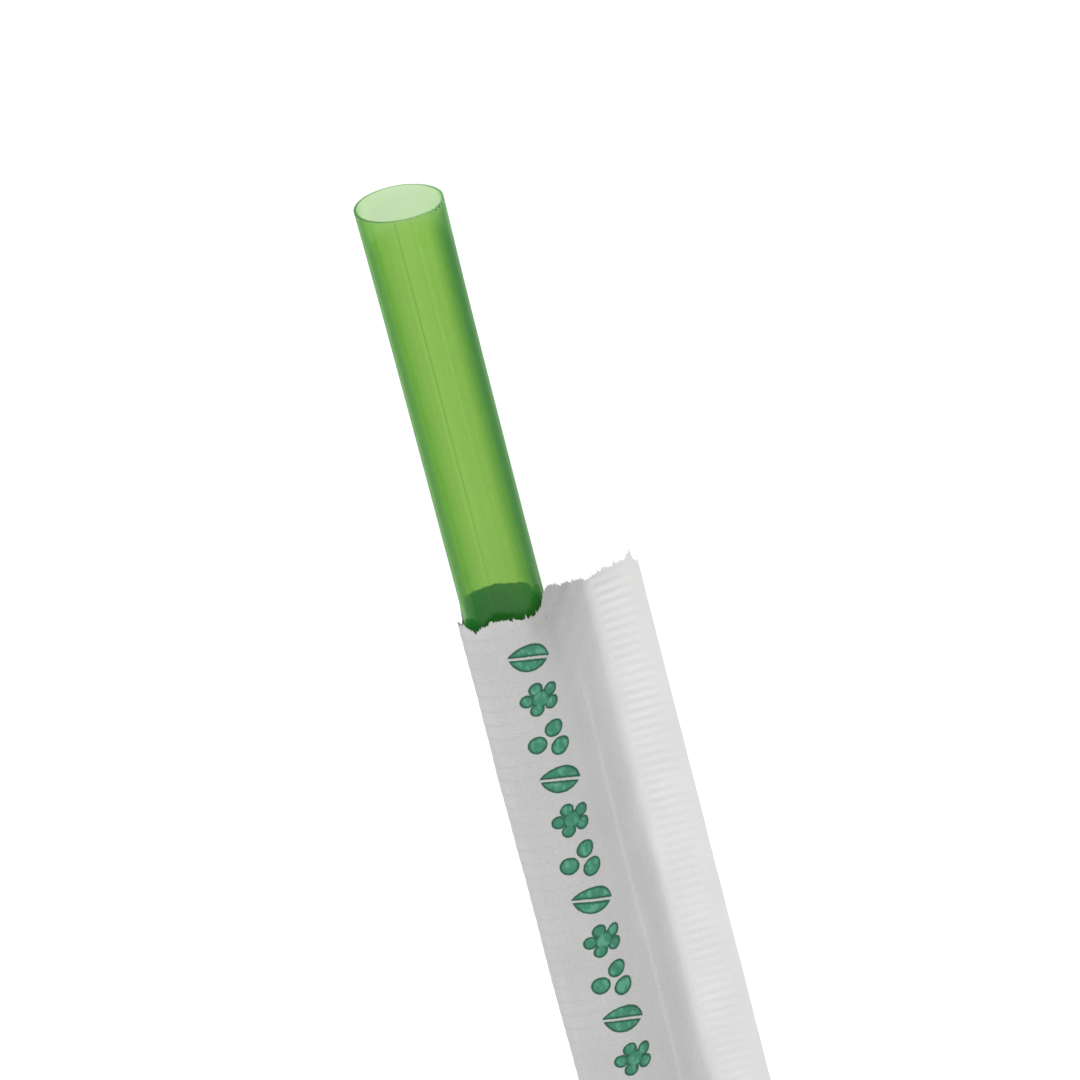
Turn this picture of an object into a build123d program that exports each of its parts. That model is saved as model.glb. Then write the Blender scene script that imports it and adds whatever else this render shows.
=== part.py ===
from build123d import *
import math
import os

# A drinking straw in a thin paper sleeve, lying as it comes to rest. The sleeve's near end is
# torn off and the straw's open end sticks out of it. The straw runs along Y with its open end
# towards +Y. The sleeve's crimped edge lies on the floor on the +X side. The origin is the
# middle of the whole thing's outline on the floor.

os.makedirs("parts", exist_ok=True)

# ---- The straw ----
straw_diameter = 6.0
straw_wall = 0.18
straw_length = 197.0
straw_showing = 33.0  # from the open end to the line of the tear

# ---- The paper sleeve ----
paper = 0.06
straw_room = 0.35  # between the straw and the paper wrapped round it
straw_lift = 0.1  # between the straw and the ply under it
root_from_axis = 6.0  # sideways from the roll's axis to where the two plies meet
crimp_width = 4.05  # the two plies pressed together along the side
crease_rise = 3.2  # height above the lower ply of the crease in the slope beside the straw
crease_lift = 0.25  # how far that crease stands out of the slope
foot_radius = 1.0  # soft bend where the slope runs out into the crimped edge
end_room = 3.0  # free length of full sleeve past the straw's inner end
taper_length = 8.0  # from the full sleeve to the flat end
end_seal = 7.0  # flat crimped end
flat_gap = 0.16  # between the plies where the flat end starts

# The tear, as (share of the sleeve's width from its fold to its crimped edge, distance past the
# line of the tear towards the open end). It crosses both plies at once.
tear = [
    (0.0, -0.7),
    (0.04, -1.0),
    (0.09, -0.9),
    (0.17, 0.0),
    (0.24, 0.1),
    (0.335, -0.4),
    (0.43, -0.6),
    (0.52, 0.1),
    (0.59, -0.6),
    (0.69, -1.6),
    (0.75, -2.1),
    (0.82, -1.6),
    (0.90, -1.0),
    (0.965, -0.9),
    (0.985, -0.3),
    (1.0, -1.3),
]
tear_margin = 1.0  # paper past the tear, before it is torn off

# ---- Worked out from the sizes above ----
roll_radius = straw_diameter / 2 + straw_room
end_roll = flat_gap / 2
half_wrap = math.pi / 2 + math.atan(roll_radius / root_from_axis)
flat_pocket = root_from_axis + roll_radius * half_wrap


def root_distance(roll):
    """Sideways distance from the roll's axis to where the plies meet, for paper of one width."""
    distance = flat_pocket
    for _ in range(40):
        distance = flat_pocket - roll * (math.pi / 2 + math.atan(roll / distance))
    return distance


overall_length = straw_length + end_room + taper_length + end_seal
open_end_y = overall_length / 2
tear_y = open_end_y - straw_showing
inner_end_y = open_end_y - straw_length
taper_y = inner_end_y - end_room
seal_y = taper_y - taper_length
sealed_end_y = seal_y - end_seal

root_x = (root_distance(end_roll) + end_roll + paper - crimp_width) / 2
axis_x = root_x - root_from_axis
straw_z = paper + straw_lift + straw_diameter / 2
fold_x = axis_x - roll_radius - paper
sleeve_width = root_x + crimp_width - fold_x


def across(y):
    """The plane square to the straw at this place along it, with X to the right and Z up."""
    return Plane.XZ.offset(-y)


def pocket_section(y, roll, outside):
    """The pocket between the plies round a roll of this radius, grown by outside on every side.

    It goes left along the lower ply, round the roll, down the slope over its crease, and
    through the soft bend at the slope's foot, which stops where the plies are pressed together.
    """
    fullness = roll / roll_radius
    roll_x = root_x - root_distance(roll)
    root = Vector(root_x, paper)
    slope = 2 * math.atan2(roll, root_distance(roll))
    up_slope = Vector(-math.cos(slope), math.sin(slope)) * (crease_rise * fullness / math.sin(slope))
    out_of_slope = Vector(math.sin(slope), math.cos(slope)) * (crease_lift * fullness)
    crease = root + up_slope + out_of_slope

    to_crease = crease - Vector(roll_x, paper + roll)
    bearing = math.atan2(to_crease.Y, to_crease.X) + math.acos(roll / to_crease.length)
    upper = Vector(math.cos(bearing), math.sin(bearing))
    lower_angle = math.atan2(crease.Y - paper, root_x - crease.X)
    lower = Vector(math.sin(lower_angle), math.cos(lower_angle))
    up = Vector(0, 1)

    bend = crease + (upper + lower) * (outside / (1 + upper.dot(lower)))
    corner = root + (lower + up) * (outside / (1 + lower.dot(up)))
    foot = foot_radius + paper - outside
    foot_start = corner + Vector(-lower.Y, lower.X) * (foot * math.tan(lower_angle / 2))
    kept_turn = 1 if outside else 0.75
    wrapped = 270 - math.degrees(bearing)
    down_slope = Vector(lower.Y, -lower.X)

    with BuildSketch(across(y)) as section:
        with BuildLine():
            over = JernArc((roll_x, paper - outside), (-1, 0), roll + outside, -wrapped)
            Line(over @ 1, bend)
            Line(bend, foot_start)
            bent = math.degrees(lower_angle) * kept_turn
            into_crimp = JernArc(foot_start, down_slope, foot, bent)
            side = Line(into_crimp @ 1, ((into_crimp @ 1).X, paper - outside))
            Line(side @ 1, over @ 0)
        make_face()
    return section.sketch


# One extruded tube of clear green bioplastic, cut square at both ends.
with BuildPart() as straw:
    with BuildSketch(across(open_end_y)):
        with Locations((axis_x, straw_z)):
            Circle(straw_diameter / 2)
            Circle(straw_diameter / 2 - straw_wall, mode=Mode.SUBTRACT)
    extrude(amount=straw_length)
straw.part.label = "straw"
export_step(straw.part, "parts/straw.step")


# One web of thin paper, wrapped round the straw with its long edges crimped together on the
# +X side, flattened and crimped across at the far end, and torn across at the near end.
with BuildPart() as wrapper:
    untorn_y = tear_y + max(ahead for _, ahead in tear) + tear_margin
    full_length = untorn_y - taper_y
    extrude(pocket_section(untorn_y, roll_radius, paper), amount=full_length)
    flat_end = pocket_section(seal_y, end_roll, paper)
    loft([pocket_section(taper_y, roll_radius, paper), flat_end], ruled=True)
    extrude(flat_end, amount=end_seal)

    with BuildSketch(across(untorn_y)):
        with Locations((root_x, 0)):
            Rectangle(crimp_width, 2 * paper, align=(Align.MIN, Align.MIN))
    extrude(amount=untorn_y - sealed_end_y)

    extrude(pocket_section(untorn_y, roll_radius, 0), amount=full_length, mode=Mode.SUBTRACT)
    pocket_ends = [pocket_section(taper_y, roll_radius, 0), pocket_section(seal_y, end_roll, 0)]
    loft(pocket_ends, ruled=True, mode=Mode.SUBTRACT)

    tear_line = [(fold_x + share * sleeve_width, tear_y + ahead) for share, ahead in tear]
    (first_x, first_y), (last_x, last_y) = tear_line[0], tear_line[-1]
    with BuildSketch(Plane.XY):
        with BuildLine():
            Polyline(
                (first_x - tear_margin, untorn_y + tear_margin),
                (first_x - tear_margin, first_y),
                *tear_line,
                (last_x + tear_margin, last_y),
                (last_x + tear_margin, untorn_y + tear_margin),
                close=True,
            )
        make_face()
    extrude(amount=2 * (roll_radius + paper), mode=Mode.SUBTRACT)
wrapper.part.label = "wrapper"
export_step(wrapper.part, "parts/wrapper.step")
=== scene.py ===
import math

import bpy
import numpy as np
from mathutils import Matrix, Vector


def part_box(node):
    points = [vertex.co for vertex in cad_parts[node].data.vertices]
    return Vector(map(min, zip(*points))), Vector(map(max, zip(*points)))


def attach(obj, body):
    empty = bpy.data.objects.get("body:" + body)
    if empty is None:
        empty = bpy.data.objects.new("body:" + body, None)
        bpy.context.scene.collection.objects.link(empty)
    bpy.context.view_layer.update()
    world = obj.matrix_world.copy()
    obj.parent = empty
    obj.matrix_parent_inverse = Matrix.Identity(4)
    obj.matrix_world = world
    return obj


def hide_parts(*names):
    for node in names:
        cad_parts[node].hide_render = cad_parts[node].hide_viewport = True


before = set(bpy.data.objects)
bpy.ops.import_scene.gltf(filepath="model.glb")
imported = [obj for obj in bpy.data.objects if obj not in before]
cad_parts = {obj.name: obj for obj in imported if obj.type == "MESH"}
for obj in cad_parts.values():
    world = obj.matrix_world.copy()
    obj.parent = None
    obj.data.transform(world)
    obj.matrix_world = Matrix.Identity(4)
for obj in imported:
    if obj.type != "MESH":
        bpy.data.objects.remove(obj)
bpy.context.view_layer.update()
mm = 0.001


# ---- Straw ----
# One extruded tube of clear green bioplastic, cut square at both ends. The cutter has pinched
# the open end slightly oval, nicked its edge and left burrs. The extruder's die has left fine
# lines along the wall.
straw_low, straw_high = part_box("straw")
straw_x = (straw_low.x + straw_high.x) / 2
straw_z = (straw_low.z + straw_high.z) / 2
straw_radius = (straw_high.x - straw_low.x) / 2
straw_length = straw_high.y - straw_low.y
straw_wall = 0.18 * mm
pinch_length = 10.9 * mm  # along the tube, over which the pinched shape fades to a third
# How far the open end's outline stands off a circle: waves round it as (how many, share of the
# radius, degrees from +X of the first crest). One is a shift, two an oval, and three points
# the oval's -X end.
pinch_waves = ((1, 0.079, 76), (2, 0.071, -20), (3, 0.012, 26))
cut_slant = 0.106  # of the cut across the open end, off square
slant_length = 6 * mm  # along the tube, over which the slant fades to a third
lip = 0.02 * mm  # rounding of the cut edge
row_crowding = 2.2  # towards the open end, as a power of the distance from it
burr_height = 0.05 * mm
most_burred, burred_width = 33, 14  # degrees round from +X by the top
# The nicks in the open end's edge, as (degrees, their width in degrees, depth in mm).
nicks = ((20, 1.6, 0.22), (28, 1.5, 0.34), (36, 1.7, 0.30), (45, 1.4, 0.18))
edge_length = 0.5 * mm  # along the tube, over which burrs and nicks fade to a third
nicked_middle, nicked_spread = 32, 18  # degrees, of where the wall by the nicks is painted paler as painted light
painted_lit_length = 3.6 * mm  # of wall painted paler behind the open end, as painted light


def seeded_waves(place, pitches, seed):
    """Smooth noise along one line: sines of the given pitches, each with its own phase and
    height drawn from the seed, added up and kept to about -1 to 1."""
    draw = np.random.default_rng(seed)
    total = np.zeros_like(place)
    for pitch in pitches:
        total += draw.uniform(0.6, 1.0) * np.sin(2 * np.pi * (place / pitch + draw.uniform()))
    return total / len(pitches)


def bell(value, middle, width):
    """1 at the middle, falling to nothing a few widths away."""
    return np.exp(-(((value - middle) / width) ** 2))


def fading(distance, length):
    """1 at no distance, and about a third as much for each length further on."""
    return np.exp(-distance / length)


def straw_surface(turn, section):
    """The wall as a closed loop carried round the tube.

    section 0 to 1 runs along the outside to the open end, 1 to 2 over its lip, 2 to 3 back
    along the inside, and 3 to 4 over the inner end's lip. turn 0 to 1 goes round from +X by
    the top. Rows crowd towards the open end. Near it, the circle eases into the pinched
    outline, which is the radius times one plus a sum of cosines. The cut there slants, and has
    burrs and nicks.
    """
    part = np.clip(section[:, None], 0, 4)
    over = np.pi * (np.clip(part, 1, 2) - 1)
    under = np.pi * (np.clip(part, 3, 4) - 3)
    out = np.where(part < 2, np.clip(1 - part, 0, 1), np.clip(part - 2, 0, 1))
    away = straw_length * out**row_crowding
    angle = 2 * np.pi * turn[None, :]

    towards_end = fading(away, pinch_length)
    degrees = turn * 360
    burrs = burr_height * np.maximum(seeded_waves(degrees, [31, 17, 11, 7.3, 4.1], 3), 0)
    burrs = burrs * (0.5 + bell(degrees, most_burred, burred_width))
    for nick_at, wide, deep in nicks:
        burrs = burrs - deep * mm * bell(degrees, nick_at, wide)
    slant = -cut_slant * straw_radius * np.cos(angle) * fading(away, slant_length)
    cut = burrs[None, :] * fading(away, edge_length) + slant
    y = straw_high.y - away + cut - lip
    y = y + lip * (np.sin(over) - np.sin(under))

    shift = np.where(part < 2, np.cos(over), -np.cos(under)) * straw_wall / 2
    outline = np.ones_like(angle)
    for waves, share, crest in pinch_waves:
        outline = outline + share * np.cos(waves * (angle - math.radians(crest))) * towards_end
    radius = (straw_radius - straw_wall / 2) * outline + shift
    x = straw_x + radius * np.cos(angle)
    z = straw_z + radius * np.sin(angle)
    return np.stack(np.broadcast_arrays(x, y, z), -1)


def mesh_of(name, points, faces, corner_uv):
    """A smooth-shaded mesh object from points (n, 3), lists of corners, and a UV for each corner,
    with sharp edges where faces meet at more than 50 degrees."""
    mesh = bpy.data.meshes.new(name)
    mesh.from_pydata(points.tolist(), [], faces)
    mesh.uv_layers.new(name="UVMap").data.foreach_set("uv", corner_uv.ravel())
    mesh.polygons.foreach_set("use_smooth", [True] * len(mesh.polygons))
    mesh.set_sharp_from_angle(angle=math.radians(50))
    piece = bpy.data.objects.new(name, mesh)
    bpy.context.scene.collection.objects.link(piece)
    return piece


def store(piece, name, values):
    """Keeps one number for each point of the piece's mesh, for its material to read."""
    attribute = piece.data.attributes.new(name, "FLOAT", "POINT")
    attribute.data.foreach_set("value", values.astype(np.float32))


turns = 240
lengthways = np.linspace(0, 1, 64)
over_lip = np.linspace(1, 2, 7)
back = np.linspace(2, 3, 64)
under_lip = np.linspace(3, 4, 5)
section = np.concatenate([lengthways, over_lip[1:], back[1:], under_lip[1:-1]])
turn = np.arange(turns) / turns
points = straw_surface(turn, section)
rows = len(section)
row, column = np.meshgrid(np.arange(rows), np.arange(turns), indexing="ij")
next_row, next_column = (row + 1) % rows, (column + 1) % turns
corners = np.stack(
    [
        row * turns + column,
        row * turns + next_column,
        next_row * turns + next_column,
        next_row * turns + column,
    ],
    -1,
).reshape(-1, 4)
around = np.stack([column, column + 1, column + 1, column], -1) / turns
lengths = (points[:, :, 1].mean(1) - straw_low.y) / straw_length
along = np.stack([lengths[row], lengths[row], lengths[next_row], lengths[next_row]], -1)
corner_uv = np.stack([around, along], -1).reshape(-1, 4, 2)[:, ::-1]
straw = mesh_of("straw_tube", points.reshape(-1, 3), corners[:, ::-1].tolist(), corner_uv)

# The cut edge is dull. The wall just behind it is painted paler as painted light, most of all
# below, and so is the wall by the nicks.
cut_edge = np.repeat((section > 1) & (section < 2), turns)
on_wall = (section < 1) | ((section > 2) & (section < 3))
from_end = (1 - lengths) * straw_length
painted_lit_wall = on_wall * np.clip((painted_lit_length - from_end) / mm, 0, 1)
painted_lit_wall = painted_lit_wall[:, None] * np.clip(0.6 - 1.4 * np.sin(2 * np.pi * turn), 0, 1)
by_nicks = np.clip(1.2 - np.abs(turn * 360 - nicked_middle) / nicked_spread, 0, 1)
painted_lit_wall = np.maximum(painted_lit_wall, by_nicks * fading(from_end[:, None], 0.3 * mm))
store(straw, "cut_edge", cut_edge)
store(straw, "painted_lit_wall", painted_lit_wall.ravel())


def put(tree, kind, inputs=None, **settings):
    """Adds one shader node. Each input is a number, a colour or another node's output."""
    node = tree.nodes.new(kind)
    for name, value in settings.items():
        setattr(node, name, value)
    for name, value in (inputs or {}).items():
        if isinstance(value, bpy.types.NodeSocket):
            tree.links.new(value, node.inputs[name])
        else:
            node.inputs[name].default_value = value
    return node


def maths(tree, operation, first, second=0.0, third=0.0):
    """One step of arithmetic on numbers or outputs."""
    inputs = {0: first, 1: second, 2: third}
    return put(tree, "ShaderNodeMath", inputs, operation=operation).outputs[0]


def eased(tree, value, low, high, to_low=0.0, to_high=1.0):
    """Eases from to_low at low to to_high at high."""
    inputs = {"Value": value, "From Min": low, "From Max": high}
    inputs.update({"To Min": to_low, "To Max": to_high})
    node = put(tree, "ShaderNodeMapRange", inputs, interpolation_type="SMOOTHSTEP")
    return node.outputs["Result"]


def apart(tree, value, middle):
    """How far a number lies from the middle, either way."""
    return maths(tree, "ABSOLUTE", maths(tree, "SUBTRACT", value, middle))


def mixed(tree, share, low, high, blend="MIX"):
    """A colour between low and high, which are colours or outputs."""
    inputs = {0: share, 6: low, 7: high}  # this node's sockets for colours share their names
    return put(tree, "ShaderNodeMix", inputs, data_type="RGBA", blend_type=blend).outputs[2]


def noise(tree, vector, scale, stretch=(1, 1, 1), detail=3.0):
    """Blender's noise at this many lumps a unit of the vector, after its stretching."""
    moved = put(tree, "ShaderNodeMapping", {"Vector": vector, "Scale": stretch}).outputs["Vector"]
    inputs = {"Vector": moved, "Scale": scale, "Detail": detail}
    return put(tree, "ShaderNodeTexNoise", inputs).outputs["Fac"]


def new_material(name):
    """A material with an empty tree, its Principled shader and its output."""
    material = bpy.data.materials.new(name)
    material.use_nodes = True
    tree = material.node_tree
    tree.nodes.clear()
    shader = put(tree, "ShaderNodeBsdfPrincipled")
    output = put(tree, "ShaderNodeOutputMaterial", {"Surface": shader.outputs["BSDF"]})
    return material, tree, shader, output


green, tree, shader, output = new_material("clear_green_bioplastic")
place = put(tree, "ShaderNodeUVMap", uv_map="UVMap").outputs["UV"]
split = put(tree, "ShaderNodeSeparateXYZ", {"Vector": place})
round_tube, along_tube = split.outputs["X"], split.outputs["Y"]
# The die's lines, as (turn, half their width in turns, depth). They are fainter towards the
# sleeve. Drawing has also left faint streaks along the tube.
die_lines = 0.0
for line_turn, line_width, line_depth in ((0.281, 0.005, 0.22), (0.222, 0.003, 0.10)):
    off_line = apart(tree, round_tube, line_turn)
    line = eased(tree, off_line, 0.0, line_width, line_depth, 0.0)
    die_lines = maths(tree, "ADD", line, die_lines)
strength = eased(tree, along_tube, 0.82, 0.95, 0.4, 1.0)
die_lines = maths(tree, "MULTIPLY", die_lines, strength)
drawn = noise(tree, place, 1.0, (50, 3, 1), 1.0)
streaks = eased(tree, drawn, 0.3, 0.7, 0.96, 1.0)
clearness = maths(tree, "SUBTRACT", streaks, die_lines)
# Seen edge-on the wall looks darker. Light already scattered off the paper is spared that.
facing = put(tree, "ShaderNodeLayerWeight", {"Blend": 0.5}).outputs["Facing"]
depths = put(tree, "ShaderNodeLightPath").outputs
direct = maths(tree, "LESS_THAN", depths["Diffuse Depth"], 0.5)
side = put(tree, "ShaderNodeValToRGB", {"Fac": maths(tree, "MULTIPLY", facing, direct)})
ramp = side.color_ramp
by_facing = (
    (0.10, (0.965, 0.98, 0.615, 1)),
    (0.20, (0.89, 0.93, 0.555, 1)),
    (0.34, (0.585, 0.645, 0.385, 1)),
    (0.47, (0.36, 0.43, 0.275, 1)),
    (0.60, (0.31, 0.26, 0.23, 1)),
    (0.79, (0.32, 0.23, 0.225, 1)),
    (0.93, (0.08, 0.10, 0.07, 1)),
)
ramp.elements[0].position, ramp.elements[0].color = by_facing[0]
ramp.elements[1].position, ramp.elements[1].color = by_facing[-1]
for at, colour in by_facing[1:-1]:
    ramp.elements.new(at).color = colour

# Painted light and shade: the +X side of the tube is tinted darker and greener as painted shade,
# and the -X side lighter as painted light, as if lit from the -X side.
from_lit_side = apart(tree, round_tube, 0.5)
shaded_side = eased(tree, from_lit_side, 0.37, 0.44)
lit_side = eased(tree, from_lit_side, 0.10, 0.17, 1.0, 0.0)
plain_tint, shaded_side_tint = (0.89, 0.89, 0.89, 1), (0.52, 0.66, 0.50, 1)
lit_side_tint = (1.0, 1.0, 0.85, 1)
side_light_tint = mixed(tree, shaded_side, plain_tint, shaded_side_tint)
side_light_tint = mixed(tree, lit_side, side_light_tint, lit_side_tint)
shade = mixed(tree, 1.0, side.outputs["Color"], clearness, "MULTIPLY")
shade = mixed(tree, 1.0, shade, side_light_tint, "MULTIPLY")
# Painted light: the wall behind the open end, and by the nicks, is painted paler.
is_painted_lit = put(tree, "ShaderNodeAttribute", attribute_name="painted_lit_wall").outputs["Fac"]
shade = mixed(tree, is_painted_lit, shade, (0.95, 0.92, 1.0, 1))
is_cut = put(tree, "ShaderNodeAttribute", attribute_name="cut_edge").outputs["Fac"]
# The cut edge is painted darkest on its upper -X side, as painted shade, and palest at the
# bottom, as painted light.
shaded_edge, plain_edge = (0.10, 0.21, 0.08, 1), (0.30, 0.46, 0.24, 1)
lit_edge = (0.55, 0.66, 0.48, 1)
off_shaded = apart(tree, round_tube, 0.42)
edge_shade = mixed(tree, eased(tree, off_shaded, 0.05, 0.2), shaded_edge, plain_edge)
off_lit = apart(tree, round_tube, 0.76)
edge_shade = mixed(tree, eased(tree, off_lit, 0.05, 0.2), lit_edge, edge_shade)
shade = mixed(tree, is_cut, shade, edge_shade)
clear = maths(tree, "MULTIPLY_ADD", is_cut, -0.6, 1.0)
tree.links.new(clear, shader.inputs["Transmission Weight"])
# A weak green sheen stands for the haze in the plastic.
shader.inputs["Sheen Weight"].default_value = 0.48
shader.inputs["Sheen Roughness"].default_value = 0.9
shader.inputs["Sheen Tint"].default_value = (0.03, 0.55, 0.08, 1)
shader.inputs["IOR"].default_value = 1.46
tree.links.new(shade, shader.inputs["Base Color"])
polish = eased(tree, drawn, 0.3, 0.7, 0.02, 0.04)
dulled = maths(tree, "MULTIPLY", is_cut, 0.4)
tree.links.new(maths(tree, "ADD", polish, dulled), shader.inputs["Roughness"])
absorbing = put(
    tree,
    "ShaderNodeVolumeAbsorption",
    {"Color": (0.45, 0.728, 0.07, 1), "Density": 3500.0},
)
tree.links.new(absorbing.outputs["Volume"], output.inputs["Volume"])
straw.data.materials.append(green)
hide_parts("straw")
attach(straw, "straw")


# ---- Wrapper ----
# One web of thin white paper, folded once round the straw. Its two long edges are pressed
# together between ribbed wheels, the far end is pressed flat and ribbed too, and the near end
# is torn off. A row of green marks is printed along the top.
wrapper_low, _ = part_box("wrapper")
paper = 0.06 * mm
roll_radius = 3.35 * mm  # of the paper round the straw, measured to its inner face
root_from_axis = 6.0 * mm  # sideways from the straw's axis to where the plies meet
crimp_width = 4.05 * mm
crease_rise = 3.2 * mm  # height of the slope's crease above the lower ply
crease_lift = 0.25 * mm  # how far that crease stands out of the slope
foot_radius = 1.0 * mm  # of the soft bend where the slope runs out into the crimp
rib_pitch = 0.757 * mm
rib_height = 0.066 * mm
press_pitch = 1.175 * mm  # of the faint lines pressed across the roll
press_lean = 0.25  # of those lines, along the straw for each step across the web
press_height = 0.016 * mm
fold_bulge = 0.16 * mm
fine_wrinkle, broad_wrinkle = 0.02 * mm, 0.05 * mm
drawn_in = 0.12 * mm  # of the fold, by the tear
dent_depth = 0.28 * mm  # in the slope, by the tear
pleat_height, pleat_pitch = 0.06 * mm, 2.3 * mm
tooth_height, fibre_height = 0.24 * mm, 0.22 * mm  # of the torn edge, past its line
straw_showing = 33.0 * mm  # from the open end to the line of the tear
end_seal = 7.0 * mm  # flat, ribbed end
taper_length = 8.0 * mm  # from the full sleeve to the flat end
pressed_roll = 0.012 * mm  # what is left of the roll at the flat end
sealed_end = wrapper_low.y
tear_line = straw_high.y - straw_showing
taper_end = sealed_end + end_seal
taper_start = taper_end + taper_length
half_wrap = math.pi / 2 + math.atan(roll_radius / root_from_axis)
flat_pocket = root_from_axis + roll_radius * half_wrap
root_x = straw_x + root_from_axis
web_length = tear_line - sealed_end

# Where each ply tore: sideways from the fold, and how far past the line of the tear, in mm.
torn_top = np.array(
    [
        (0.0, -0.25), (0.2, 0.05), (0.38, 0.25), (0.55, 0.05), (0.7, -0.15), (0.94, -0.32),
        (1.36, 0.19), (2.2, 0.74), (3.45, 0.72), (4.3, 0.35), (5.1, 0.25), (5.75, 0.27),
        (6.05, 0.5), (6.3, 1.05), (6.6, 1.45), (7.3, 0.93), (8.0, 0.23), (9.4, -1.2),
        (9.8, -1.18), (10.47, -0.86), (10.98, -0.7), (11.43, -0.7), (11.56, -0.52), (12.5, -0.5),
        (12.69, -0.32), (12.88, 0.05), (12.96, 0.2), (13.06, -0.4), (13.24, -0.7), (13.6, -0.9),
    ]
) * mm  # fmt: skip
torn_below = np.array(
    [
        (0.0, -0.3), (0.1, -0.9), (0.2, -1.1), (0.3, -0.9), (0.38, 0.4), (0.5, 0.62), (0.8, 0.6),
        (1.05, 0.45), (2.0, 0.32), (3.4, 0.2), (4.2, 0.02), (5.2, -0.2), (5.7, -0.4), (6.2, -1.4),
        (8.0, -1.8), (9.4, -1.8), (11.1, -1.4), (12.5, -1.05), (13.6, -1.5),
    ]
) * mm  # fmt: skip


def root_distance(roll):
    """Sideways distance from the roll's axis to where the plies meet. The web keeps its width,
    so what the roll takes up of it, the flat part has less: found by going round 40 times."""
    distance = np.full_like(roll, flat_pocket)
    for _ in range(40):
        distance = flat_pocket - roll * (np.pi / 2 + np.arctan(roll / distance))
    return distance


def roll_at(y):
    """The roll's radius: full along the straw, easing down to pressed flat over the taper, by
    the mean of a smooth step and a straight one."""
    share = np.clip((y - taper_end) / (taper_start - taper_end), 0, 1)
    share = share * share * (3 - 2 * share) * 0.5 + share * 0.5
    return pressed_roll + (roll_radius - pressed_roll) * share


def web_section(q, y):
    """The middle of the paper's thickness as (x, z), for arrays q and y of one shape.

    q 0 to 1 is the lower crimped ply from its edge inwards, 1 to 2 the ply under the straw,
    2 to 3 the arc round the straw from below over the fold side to the top, 3 to 4 the slope
    down to the crease, 4 to 5 on down to the foot, 5 to 6 the foot's concave arc, and 6 to 7
    the upper crimped ply out to its edge. The slope leaves the roll's circle along its tangent
    through the crease. The crease stands off the line from where the plies meet that touches
    the roll, and the foot's arc touches the slope and the crimp. Half the paper's thickness is
    added all along.
    """
    roll = roll_at(y)
    full = roll / roll_radius
    half = paper / 2
    distance = root_distance(roll)
    centre_x = root_x - distance
    centre_z = paper + roll
    slope = 2 * np.arctan2(roll, distance)
    climb = crease_rise * full / np.sin(slope)
    crease_x = root_x - np.cos(slope) * climb + np.sin(slope) * crease_lift * full
    crease_z = paper + np.sin(slope) * climb + np.cos(slope) * crease_lift * full
    reach_x, reach_z = crease_x - centre_x, crease_z - centre_z
    reach = np.hypot(reach_x, reach_z)
    bearing = np.arctan2(reach_z, reach_x) + np.arccos(np.clip(roll / reach, -1, 1))
    lower_angle = np.arctan2(crease_z - paper, root_x - crease_x)
    upper_x, upper_z = np.cos(bearing), np.sin(bearing)
    lower_x, lower_z = np.sin(lower_angle), np.cos(lower_angle)
    spread = half / (1 + upper_x * lower_x + upper_z * lower_z)
    bend_x = crease_x + (upper_x + lower_x) * spread
    bend_z = crease_z + (upper_z + lower_z) * spread
    corner_x = root_x + lower_x * half / (1 + lower_z)
    corner_z = paper + half
    foot = foot_radius + half
    run = foot * np.tan(lower_angle / 2)
    start_x = corner_x - lower_z * run
    start_z = corner_z + lower_x * run
    foot_x, foot_z = start_x + lower_x * foot, start_z + lower_z * foot
    edge_x = root_x + crimp_width

    def part(k):
        """How far q has come, from 0 to 1, through the stretch that starts at k."""
        return np.clip(q - k, 0, 1)

    angle = 1.5 * np.pi + (bearing - 1.5 * np.pi) * part(2)
    turned = lower_angle * (1 - part(5))
    arc_x = centre_x + (roll + half) * np.cos(angle)
    arc_z = centre_z + (roll + half) * np.sin(angle)
    end_x = centre_x + (roll + half) * upper_x
    end_z = centre_z + (roll + half) * upper_z
    x = np.select(
        [q < 1, q < 2, q < 3, q < 4, q < 5, q < 6],
        [
            edge_x + (root_x - edge_x) * part(0),
            root_x + (centre_x - root_x) * part(1),
            arc_x,
            end_x + (bend_x - end_x) * part(3),
            bend_x + (start_x - bend_x) * part(4),
            foot_x - foot * np.sin(turned),
        ],
        foot_x + (edge_x - foot_x) * part(6),
    )
    z = np.select(
        [q < 2, q < 3, q < 4, q < 5, q < 6],
        [
            np.full_like(q, half),
            arc_z,
            end_z + (bend_z - end_z) * part(3),
            bend_z + (start_z - bend_z) * part(4),
            foot_z - foot * np.cos(turned),
        ],
        foot_z - foot,
    )
    return x, z


# How far along the web's width each q lies, from the lower ply's edge, on the full section.
fine_q = np.linspace(0, 7, 2801)
fine_x, fine_z = web_section(fine_q, np.zeros_like(fine_q))
fine_s = np.concatenate([[0], np.cumsum(np.hypot(np.diff(fine_x), np.diff(fine_z)))])
fold_q = fine_q[np.argmin(fine_x)]
fold_x = fine_x.min()
top_s = fine_s[np.argmax(fine_z)]


def soft_noise(across, along, coarse, fine, seed):
    """Smooth noise over a surface: sines running in directions and at pitches between coarse
    and fine, with phases drawn from the seed, added up and kept to about -1 to 1."""
    sines = 14
    draw = np.random.default_rng(seed)
    total = np.zeros(np.broadcast(across, along).shape)
    for _ in range(sines):
        heading, pitch = draw.uniform(0, np.pi), fine * (coarse / fine) ** draw.uniform()
        place = (across * np.cos(heading) + along * np.sin(heading)) / pitch
        total += np.sin(2 * np.pi * (place + draw.uniform()))
    return total / math.sqrt(sines)


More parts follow.
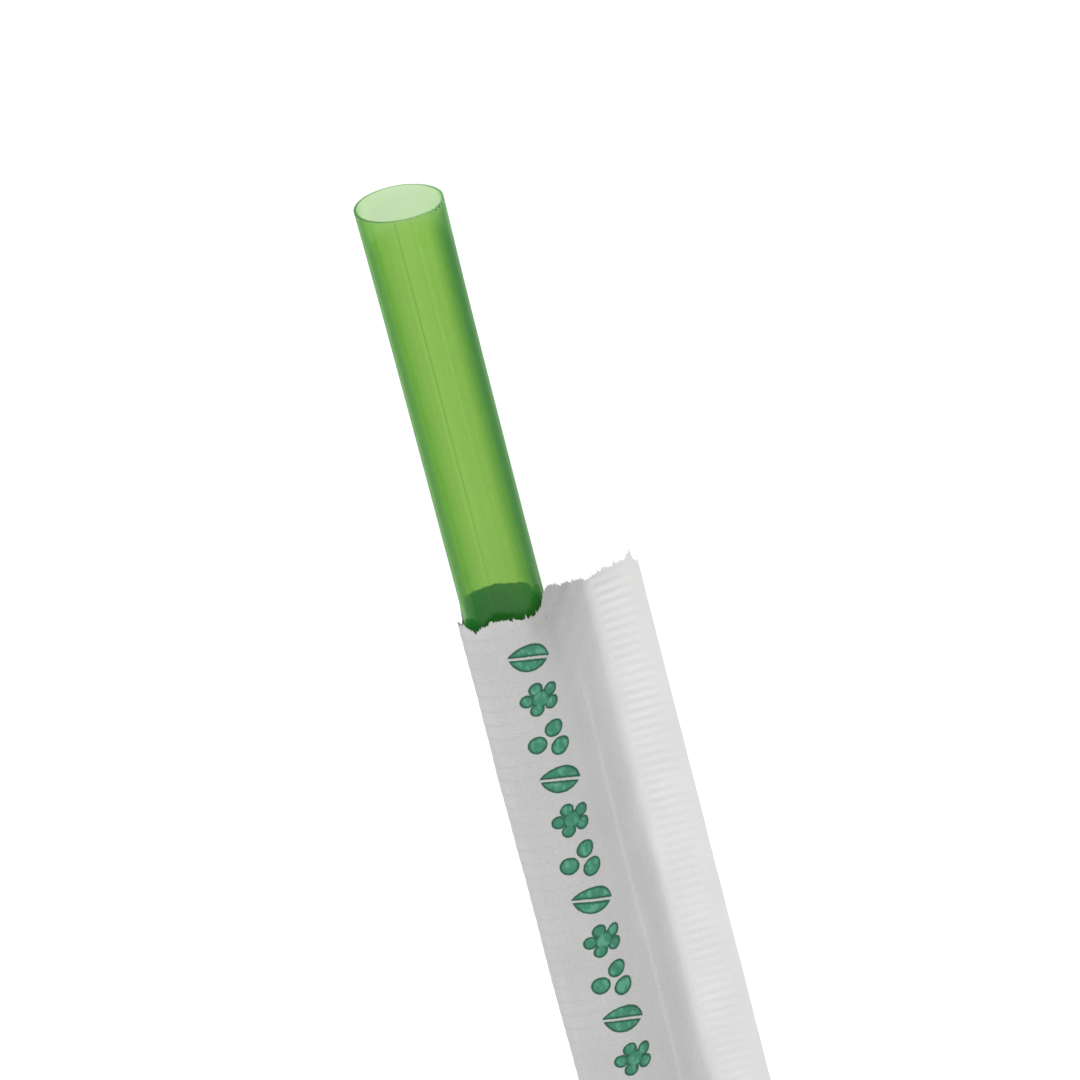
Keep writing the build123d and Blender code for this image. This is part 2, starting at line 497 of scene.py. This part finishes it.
# The web's columns: for each stretch of q, its start, its end and how many cells it has.
cells = [(0, 1, 4), (1, 2, 4), (2, 3, 26), (3, 4, 5), (4, 5, 5), (5, 6, 4), (6, 7, 8)]
columns = np.concatenate([np.linspace(a, b, n, endpoint=False) for a, b, n in cells] + [[7.0]])
teeth_length = 1.15 * mm  # back from the tear, over which its fine detail fades
straightening = 8 * mm  # back from the tear, over which rows of points become straight


def torn_at(q):
    """How far past the line of the tear the paper reaches at q."""
    from_fold = np.interp(q, fine_q, fine_x) - fold_x
    below = np.interp(from_fold, torn_below[:, 0], torn_below[:, 1])
    above = np.interp(from_fold, torn_top[:, 0], torn_top[:, 1])
    return np.where(q < fold_q, below, above)


def web_points(q, back, side, teeth):
    """Points of the paper's outer (side 1) or inner (side -1) face.

    back is the distance behind the torn line, and teeth is 1 where rows follow the tear's teeth.
    Rows start on that line and straighten out behind it, by the square of what is left of the
    way. The teeth are two sums of seeded sines, broad ones and the narrow fibres. The paper's own
    relief is added: ribs upwards on the pressed parts, and the rest square to the paper. A rib is
    a cosine bump to the power 1.3, in rows a rib_pitch apart.
    """
    q, back = np.broadcast_arrays(q, back)
    near_tear = np.clip(1 - back / teeth_length, 0, 1)
    coarse = np.interp(q, columns, torn_at(columns))
    torn = coarse + (torn_at(q) - coarse) * near_tear
    s = np.interp(q, fine_q, fine_s)
    jag = seeded_waves(s / mm, [1.9, 0.93, 0.61, 0.43, 0.31, 0.23, 0.19], 5)
    jag = tooth_height * np.sign(jag) * np.abs(jag) ** 0.8
    fibre = np.maximum(seeded_waves(s / mm, [0.47, 0.33, 0.24, 0.19, 0.155, 0.13], 6) * 2.2, 0)
    jag = (jag + fibre_height * fibre**2) * np.where(q < fold_q, 0.5, 1.0)
    y = tear_line - back + torn * np.clip(1 - back / straightening, 0, 1) ** 2
    y = y + teeth * jag * near_tear**2

    x, z = web_section(q, y)
    step = 0.02
    ahead_x, ahead_z = web_section(np.clip(q + step, 0, 7), y)
    behind_x, behind_z = web_section(np.clip(q - step, 0, 7), y)
    run_x, run_z = ahead_x - behind_x, ahead_z - behind_z
    size = np.hypot(run_x, run_z)
    out_x, out_z = -run_z / size, run_x / size

    from_tear = tear_line - y
    past_tear = np.clip(from_tear, 0, 1)
    from_fold, from_root = x - fold_x, x - root_x

    # Ribs lean near the tear, wander, and vary in depth. They are deepest near the tear and
    # where the plies meet, and almost gone along the paper's long edges. The small power gives
    # the lower ply nearly whole ribs right up to where it leaves the crimp.
    crimped = np.clip(1 - q, 0, 1) ** 0.01 * (q < 1) + np.clip((q - 5.6) / 0.4, 0, 1)
    flat_end = np.clip((taper_end + 1.0 * mm - y) / (1.5 * mm), 0, 1)
    ribbed = np.maximum(np.clip(crimped, 0, 1), flat_end)
    skew = 0.028 * mm * soft_noise(x, y, 9 * mm, 3 * mm, 21)
    skew = skew + 0.18 * from_root * fading(past_tear, 5 * mm)
    depth = 0.75 + 0.3 * soft_noise(x, y, 12 * mm, 3 * mm, 22)
    depth = depth * (0.45 + fading(past_tear, 20 * mm))
    rib = rib_height * (0.5 + 0.5 * np.cos(2 * np.pi * (y - skew) / rib_pitch)) ** 1.3 * depth
    margin = np.clip((crimp_width - from_root - 0.9 * mm) / (0.5 * mm), 0.12, 1)
    margin = margin * (0.75 + 0.7 * fading(np.clip(from_root, 0, 1), 1.4 * mm))
    margin = np.maximum(margin, flat_end)
    z = z + np.maximum(rib, 0) * ribbed * margin

    # Pressed lines across the roll, a soft bulge along the fold, and two sizes of wrinkle.
    relief = press_height * np.cos(2 * np.pi * (y - press_lean * s) / press_pitch) * (q < 3.1)
    relief = relief + fold_bulge * bell(from_fold, 0, 0.9 * mm)
    relief = relief + fine_wrinkle * soft_noise(s, y, 9 * mm, 2 * mm, 23)
    relief = relief + broad_wrinkle * soft_noise(s, y * 0.3, 12 * mm, 4 * mm, 24)
    # By the tear, the fold is drawn in, and the slope has a dent and slanting pleats.
    relief = relief - drawn_in * bell(from_fold, 0, 1.2 * mm) * fading(past_tear, 4 * mm)
    on_slope = bell(x, root_x - 1.5 * mm, 1.7 * mm) * (q > 3)
    relief = relief - dent_depth * on_slope * bell(from_tear, 1.5 * mm, 3.0 * mm)
    pleats = np.sin(2 * np.pi * (from_tear + 0.9 * from_root) / pleat_pitch)
    relief = relief + pleat_height * pleats * on_slope * fading(from_tear, 5 * mm)
    full = roll_at(y) / roll_radius
    upper = np.clip((q - 2.15) / 0.3, 0, 1) * np.clip((6.0 - q) / 0.4, 0, 1) * full
    x = x + out_x * relief * upper
    z = z + out_z * relief * upper
    wander = 0.02 * mm * seeded_waves(y / mm, [17, 7.1, 3.3], 8)
    x = x + wander * np.clip((x - root_x) / crimp_width, 0, 1)

    # The torn edge thins out, and pressed plies stop just short of touching.
    thinned = 0.35 + 0.65 * np.clip(back / (0.35 * mm), 0, 1)
    half = side * paper / 2 * thinned * 0.985
    return np.stack([x + out_x * half, y, np.maximum(z + out_z * half, 0.0)], -1)


# The web's grid. Crimped bands have rows close enough for their ribs, the body a third of
# them, and the torn edge has twelve columns for each of the rest, for its teeth.
lower_cells, upper_cells = cells[0][2], cells[-1][2]
torn_split, row_split, rows_a_rib = 12, 3, 6
torn_rows = np.append(np.array([0, 0.07, 0.16, 0.3, 0.5, 0.8]) * mm, teeth_length)
first_row = torn_rows[-1] + 0.1 * mm
ribs = round((web_length - first_row) / rib_pitch)
fine_rows = np.linspace(first_row, web_length, ribs * rows_a_rib + 1)
torn_columns = np.interp(
    np.arange((len(columns) - 1) * torn_split + 1) / torn_split, np.arange(len(columns)), columns
)
bands = [
    (torn_columns, torn_rows, 1.0),
    (columns[: lower_cells + 1], fine_rows, 0.0),
    (columns[lower_cells + 1 : -upper_cells - 1], fine_rows[::row_split], 0.0),
    (columns[-upper_cells - 1 :], fine_rows, 0.0),
]
# Painted light and shade on the thin paper's outer face, by mm from the straw's axis: painted
# lightest where the other ply lies against it, and painted darker over the hollow.
painted_light_by_place = np.array(
    [
        (-3.6, 0.3), (-3.4, 0.08), (-3.2, 0.12), (-3.05, 0.20), (-2.7, 0.10), (-1.0, 0.08),
        (1.5, 0.10), (2.5, 0.19), (3.1, 0.16), (3.6, 0.21), (4.2, 0.22), (4.5, 0.29),
        (4.75, 0.33), (5.0, 0.42), (5.3, 0.53), (5.55, 0.70), (5.8, 1.0), (6.2, 1.0), (6.6, 0.84),
    ]
) * (mm, 1)  # fmt: skip
pressed_lit = 0.84  # painted light of plies pressed together
darkened = 0.18  # how far below the table's 0 the shadows may go
mouth_shadow, dent_shadow, crimp_shadow, foot_shadow = 0.42, 0.12, 0.36, 0.30
kink_at = tear_line - 22 * mm  # a small step in the painted light along the crimp's inner edge


def painted_light_at(q, x, y):
    """How much painted light the outer face has at q, x and y, from 0 to 1.

    It is the table's value, less four painted shadows behind the tear: beside the straw, in the
    slope's dent, over the crimp and along its foot. Each is a product of bells and fading
    amounts. The table's part beside the crimp follows its inner edge, which wanders. The lower
    ply and the flat end are painted no darker than plies pressed together.
    """
    x, from_tear = x - straw_x, np.clip(tear_line - y, 0, 1)
    wander = 0.07 * mm * seeded_waves(y / mm, [23, 9.1, 3.7], 9)
    kink = 0.12 * mm / (1 + np.exp((y - kink_at) / (0.4 * mm)))
    edge_shift = wander + kink + 0.26 * mm * fading(from_tear, 8 * mm)
    white = np.interp(x - edge_shift * (x > 4.5 * mm), painted_light_by_place[:, 0], painted_light_by_place[:, 1])

    mouth = fading(from_tear, 2.5 * mm) * np.clip(x / mm - 1, 0, 1)
    white = white - mouth_shadow * mouth * np.clip(6.5 - x / mm, 0, 1)
    dent = bell(from_tear, 2.2 * mm, 1.9 * mm) * bell(x, 3.1 * mm, 1.1 * mm)
    white = white - dent_shadow * dent
    crimp_side = np.clip(1.15 - (x / mm - 5.5) / 3.6, 0.2, 1) * np.clip(x / mm - 5.2, 0, 1)
    white = white - crimp_shadow * fading(from_tear, 4 * mm) * crimp_side
    foot = fading(from_tear, 7 * mm) * bell(x, 6.15 * mm, 0.45 * mm)
    white = white - foot_shadow * foot

    lower_ply = np.clip(1.3 - q, 0, 0.3) / 0.3
    flat_end = np.clip((taper_end + 1.0 * mm - y) / (2 * mm), 0, 1)
    pressed = pressed_lit * np.maximum(lower_ply, flat_end)
    white = np.where(pressed > 0, np.maximum(white, pressed), white)
    return (white + darkened) / (1 + darkened)


uv_a_metre = 5  # of the web's UVs, which run across it and along it
points, web_uv, painted_lights, grids = [], [], [], []
for side in (1, -1):
    for band_columns, band_rows, teeth in bands:
        q, back = np.meshgrid(band_columns, band_rows)
        grids.append(np.arange(q.size).reshape(q.shape) + sum(len(p) for p in points))
        points.append(web_points(q, back, side, teeth).reshape(-1, 3))
        s = np.interp(q, fine_q, fine_s)
        web_uv.append(np.stack([s.ravel(), points[-1][:, 1] - sealed_end], -1) * uv_a_metre)
        if side == 1:
            painted_lights.append(painted_light_at(q.ravel(), points[-1][:, 0], points[-1][:, 1]))
        else:
            painted_lights.append(np.ones(q.size))


def quads(grid):
    """The four corners of each cell of a grid of point numbers."""
    corner = [grid[:-1, :-1], grid[1:, :-1], grid[1:, 1:], grid[:-1, 1:]]
    return np.stack(corner, -1).reshape(-1, 4)


def joined(coarse, fine, split):
    """Cells between a line of points and one with split times as many: each has one coarse
    edge and the fine ones that face it, taken backwards."""
    n = len(coarse) - 1
    facing = fine[np.arange(n)[:, None] * split + np.arange(split, -1, -1)[None, :]]
    return np.concatenate([coarse[:-1, None], coarse[1:, None], facing], 1)


faces, rims = [], []
for side, (torn, lower, inner, upper) in zip((1, -1), (grids[:4], grids[4:])):
    first_coarse = np.concatenate([lower[0], inner[0], upper[0]])
    last_coarse = np.concatenate([lower[-1], inner[-1], upper[-1]])
    made = [quads(torn), quads(lower), quads(inner), quads(upper)]
    made.append(joined(first_coarse, torn[-1], torn_split))
    made.append(joined(inner[:, 0], lower[:, -1], row_split)[:, ::-1])
    made.append(joined(inner[:, -1], upper[:, 0], row_split))
    for block in made:
        faces.extend((block if side == 1 else block[:, ::-1]).tolist())
    lower_edge = np.concatenate([torn[:, 0], lower[:, 0]])
    upper_edge = np.concatenate([torn[:, -1], upper[:, -1]])
    rims.append((torn[0], last_coarse, lower_edge, upper_edge))
# The rims between the two faces: the torn edge, the sealed end and the two long edges.
for k, backwards in enumerate((True, False, False, True)):
    strip = quads(np.stack([rims[0][k], rims[1][k]]))
    faces.extend((strip[:, ::-1] if backwards else strip).tolist())

web_uv = np.concatenate(web_uv)
corner_numbers = np.concatenate([np.array(f) for f in faces])
wrapper = mesh_of("paper_sleeve", np.concatenate(points), faces, web_uv[corner_numbers])
store(wrapper, "painted_light", np.concatenate(painted_lights))

# The printed marks: leaves, flowers and threes of dots in turn, in rows of eleven.
crease_line = top_s + 5.40 * mm
print_middle = top_s + 0.85 * mm
print_start = tear_line - 1.0 * mm  # where the first mark's place begins
mark_pitch = 3.4  # mm, as the rest of the marks' sizes are
marks_in_row, row_pitch = 11, 15  # marks, and places for them, from one row to the next
lean_across, lean_along = 0.45, 0.30  # of the marks, as slopes
ragged_by = 0.12  # mm, of their edges


def mark_depth(tree, across, along, kind):
    """How deep inside its mark each place lies, in mm, with (0, 0) the mark's middle.

    A leaf is where two discs overlap, less a slit along its rib. A dot is what lies near a
    point, and a flower is five dots round a sixth.
    """

    def near(x, y, radius):
        aside = maths(tree, "SUBTRACT", across, x)
        past = maths(tree, "SUBTRACT", along, y)
        place = put(tree, "ShaderNodeCombineXYZ", {"X": aside, "Y": past}).outputs["Vector"]
        away = put(tree, "ShaderNodeVectorMath", {0: place}, operation="LENGTH").outputs["Value"]
        return maths(tree, "SUBTRACT", radius, away)

    if kind == "leaf":
        leaf = maths(tree, "MINIMUM", near(0, -0.75, 1.90), near(0, 0.75, 1.90))
        bowed = maths(tree, "MULTIPLY", maths(tree, "MULTIPLY", across, across), 0.06)
        slit = maths(tree, "SUBTRACT", apart(tree, along, bowed), 0.09)
        return maths(tree, "MINIMUM", leaf, slit)
    if kind == "flower":
        flower = near(0, 0, 0.78)
        for petal in range(5):
            angle = 2 * math.pi * (petal + 0.3) / 5
            dot = near(1.05 * math.cos(angle), 0.92 * math.sin(angle), 0.58)
            flower = maths(tree, "MAXIMUM", flower, dot)
        return flower
    dots = maths(tree, "MAXIMUM", near(-0.95, 0.50, 0.77), near(0.92, 0.60, 0.79))
    return maths(tree, "MAXIMUM", dots, near(0.05, -0.90, 0.75))


white_paper, tree, shader, output = new_material("thin_white_paper")
place = put(tree, "ShaderNodeUVMap", uv_map="UVMap").outputs["UV"]
to_mm = 1 / mm / uv_a_metre
in_mm = put(tree, "ShaderNodeMapping", {"Vector": place, "Scale": (to_mm, to_mm, 1)})
in_mm = in_mm.outputs["Vector"]
split = put(tree, "ShaderNodeSeparateXYZ", {"Vector": in_mm})
web_across, web_along = split.outputs["X"], split.outputs["Y"]
clouds = noise(tree, in_mm, 0.35, (1, 0.6, 1))
fibres = noise(tree, in_mm, 3.2, (1, 2.2, 1), 4.0)
flecks = noise(tree, in_mm, 9.0, (1, 1, 1), 2.0)
across = maths(tree, "SUBTRACT", web_across, print_middle / mm)
down = maths(tree, "SUBTRACT", (print_start - sealed_end) / mm, web_along)
place_number = maths(tree, "FLOOR", maths(tree, "DIVIDE", down, mark_pitch))
along = maths(tree, "MULTIPLY", maths(tree, "ADD", place_number, 0.5), mark_pitch)
along = maths(tree, "SUBTRACT", down, along)
leant_across = maths(tree, "ADD", across, maths(tree, "MULTIPLY", along, lean_across))
leant_along = maths(tree, "SUBTRACT", along, maths(tree, "MULTIPLY", across, lean_along))
in_row = maths(tree, "MODULO", place_number, row_pitch)
kind_here = maths(tree, "MODULO", in_row, 3)
# Each place has one kind of mark. The other kinds count as 1 mm outside theirs.
depth = -1.0
for number, kind in enumerate(("leaf", "flower", "dots")):
    chosen = maths(tree, "COMPARE", kind_here, number, 0.5)
    inside = mark_depth(tree, leant_across, leant_along, kind)
    inside = maths(tree, "MULTIPLY", maths(tree, "ADD", inside, 1), chosen)
    depth = maths(tree, "MAXIMUM", depth, maths(tree, "SUBTRACT", inside, 1))
ragged = maths(tree, "MULTIPLY", maths(tree, "SUBTRACT", fibres, 0.5), ragged_by)
depth = maths(tree, "ADD", depth, ragged)
inked = eased(tree, depth, -0.03, 0.05)
inked = maths(tree, "MULTIPLY", inked, maths(tree, "LESS_THAN", in_row, marks_in_row - 0.5))
inked = maths(tree, "MULTIPLY", inked, maths(tree, "GREATER_THAN", down, 0.0))

# The paper's colour carries painted light and shade: it is painted darker where the painted light
# is low.
painted_light = put(tree, "ShaderNodeAttribute", attribute_name="painted_light").outputs["Fac"]
painted_shade_paper, most_white = (0.490, 0.488, 0.485, 1), (0.85, 0.847, 0.843, 1)
sheet = mixed(tree, painted_light, painted_shade_paper, most_white)
# Along the crease a painted highlight: a pale line that drifts sideways.
line_at = maths(tree, "MULTIPLY_ADD", down, -0.016, crease_line / mm)
crease_highlight = eased(tree, apart(tree, web_across, line_at), 0.0, 0.38, 0.08, 0.0)
crease_highlight = maths(tree, "MULTIPLY", crease_highlight, eased(tree, down, 3.0, 9.0))
# The paper is cloudy and has dark flecks, and the crease's painted highlight is added to its
# clouds.
mottle_and_highlight = maths(tree, "ADD", eased(tree, clouds, 0.25, 0.75, 0.971, 1.016), crease_highlight)
# Its grain of fibres is fainter where it is painted lightest.
fainter = eased(tree, painted_light, 0.5, 0.8, 1.0, 0.4)
grain_shade = maths(tree, "MULTIPLY", eased(tree, fibres, 0.25, 0.75, -0.056, 0.056), fainter)
mottle_and_highlight = maths(tree, "ADD", mottle_and_highlight, grain_shade)
# Faint lines pressed across the paper on the tube's fold side.
leant = maths(tree, "MULTIPLY_ADD", web_across, -press_lean, web_along)
leant = maths(tree, "MULTIPLY_ADD", clouds, 0.3, leant)
in_line = maths(tree, "FRACT", maths(tree, "DIVIDE", leant, press_pitch / mm))
in_line = apart(tree, in_line, 0.5)
pressed_line = eased(tree, in_line, 0.0, 0.16, -0.075, 0.012)
across_tube = maths(tree, "SUBTRACT", web_across, top_s / mm)
fades = eased(tree, across_tube, -4.5, 0.5, 1.0, 0.0)
fades = maths(tree, "MULTIPLY", fades, eased(tree, clouds, 0.38, 0.6, 0.25, 1.0))
mottle_and_highlight = maths(tree, "MULTIPLY_ADD", pressed_line, fades, mottle_and_highlight)
mottle_and_highlight = maths(tree, "ADD", eased(tree, flecks, 0.62, 0.8, 0.0, -0.03), mottle_and_highlight)
sheet = mixed(tree, 1.0, sheet, mottle_and_highlight, "MULTIPLY")
# The ink is darkest along each mark's edge, with lighter patches further in.
edge_ink, body_ink = (0.018, 0.110, 0.066, 1), (0.050, 0.250, 0.155, 1)
patch_ink = (0.115, 0.38, 0.26, 1)
off_edge = eased(tree, depth, 0.09, 0.30)
ink = mixed(tree, off_edge, edge_ink, body_ink)
patches = noise(tree, in_mm, 1.3, (1.6, 0.8, 1))
patches = maths(tree, "MULTIPLY", eased(tree, patches, 0.46, 0.64), off_edge)
ink = mixed(tree, patches, ink, patch_ink)
tree.links.new(mixed(tree, inked, sheet, ink), shader.inputs["Base Color"])
dull = eased(tree, fibres, 0.2, 0.8, 0.82, 0.96)
dull = maths(tree, "SUBTRACT", dull, maths(tree, "MULTIPLY", inked, 0.3))
tree.links.new(dull, shader.inputs["Roughness"])
shader.inputs["Specular IOR Level"].default_value = 0.3
grain = maths(tree, "ADD", fibres, maths(tree, "MULTIPLY", flecks, 0.4))
grain = maths(tree, "MULTIPLY", grain, fainter)
bump = put(tree, "ShaderNodeBump", {"Height": grain, "Strength": 0.6, "Distance": 0.015 * mm})
tree.links.new(bump.outputs["Normal"], shader.inputs["Normal"])
wrapper.data.materials.append(white_paper)
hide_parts("wrapper")
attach(wrapper, "sleeve")


# ---- Table, light and camera ----
# The object lies on a plain white light table, under an even white sky with one large soft
# lamp. A long lens looks down on it from the open end's side.
bpy.ops.mesh.primitive_plane_add(size=8.0, location=(0, 0, -0.02 * mm))
table = bpy.context.object
table.name = "light_table"
pale, tree, shader, output = new_material("pale_table")
shader.inputs["Base Color"].default_value = (0.25, 0.25, 0.25, 1)
shader.inputs["Emission Color"].default_value = (1, 1, 1, 1)
shader.inputs["Roughness"].default_value = 0.9
# The table glows white, and less brightly where it is seen mirrored.
glow_seen, glow_mirrored = 0.95, 0.25
path = put(tree, "ShaderNodeLightPath").outputs
mirrored = maths(tree, "SUBTRACT", path["Is Glossy Ray"], path["Is Transmission Ray"])
glow = eased(tree, mirrored, 0.0, 1.0, glow_seen, glow_mirrored)
tree.links.new(glow, shader.inputs["Emission Strength"])
table.data.materials.append(pale)

sky_low, sky_gain = 0.33, 0.62  # brightness at the horizon, and how much more overhead
world = bpy.data.worlds.new("soft_sky")
world.use_nodes = True
sky = world.node_tree
direction = put(sky, "ShaderNodeTexCoord").outputs["Generated"]
height = put(sky, "ShaderNodeSeparateXYZ", {"Vector": direction}).outputs["Z"]
height = maths(sky, "MAXIMUM", height, 0.0)
brightness = maths(sky, "MULTIPLY_ADD", height, sky_gain, sky_low)
sky.links.new(brightness, sky.nodes["Background"].inputs["Strength"])
sky.nodes["Background"].inputs["Color"].default_value = (1, 1, 1, 1)
bpy.context.scene.world = world

lamp_data = bpy.data.lights.new("soft_lamp", "AREA")
lamp_data.shape = "SQUARE"
lamp_data.size = 0.4  # metres
lamp_data.energy = 5.0  # watts
lamp = bpy.data.objects.new("soft_lamp", lamp_data)
bpy.context.scene.collection.objects.link(lamp)
lamp.location = (-0.25, 1.0, 0.65)
lamp.rotation_euler = lamp.location.to_track_quat("Z", "Y").to_euler()

tilt = math.radians(28)  # of the view off straight down, towards the open end
twist = math.radians(14.6)  # of the camera about its own line of sight
reach = 800 * mm  # of the camera from the open end, along the view
sideways, down_view = 9.92 * mm, 23.55 * mm  # from the open end to the middle of the view
flat_right, flat_up = Vector((1, 0, 0)), Vector((0, math.cos(tilt), -math.sin(tilt)))
towards = Vector((0, math.sin(tilt), math.cos(tilt)))
right = flat_right * math.cos(twist) - flat_up * math.sin(twist)
up = flat_right * math.sin(twist) + flat_up * math.cos(twist)
open_end = Vector((straw_x, straw_high.y, straw_z))
camera_data = bpy.data.cameras.new("camera")
camera_data.sensor_width = 36
camera_data.lens = 382.9  # mm, as the sensor's width is
camera_data.clip_start, camera_data.clip_end = 0.05, 20
camera = bpy.data.objects.new("camera", camera_data)
bpy.context.scene.collection.objects.link(camera)
axes = Matrix((right, up, towards)).transposed().to_4x4()
camera_at = open_end + right * sideways - up * down_view + towards * reach
camera.matrix_world = Matrix.Translation(camera_at) @ axes
bpy.context.scene.camera = camera
bpy.context.scene.view_settings.view_transform = "Standard"
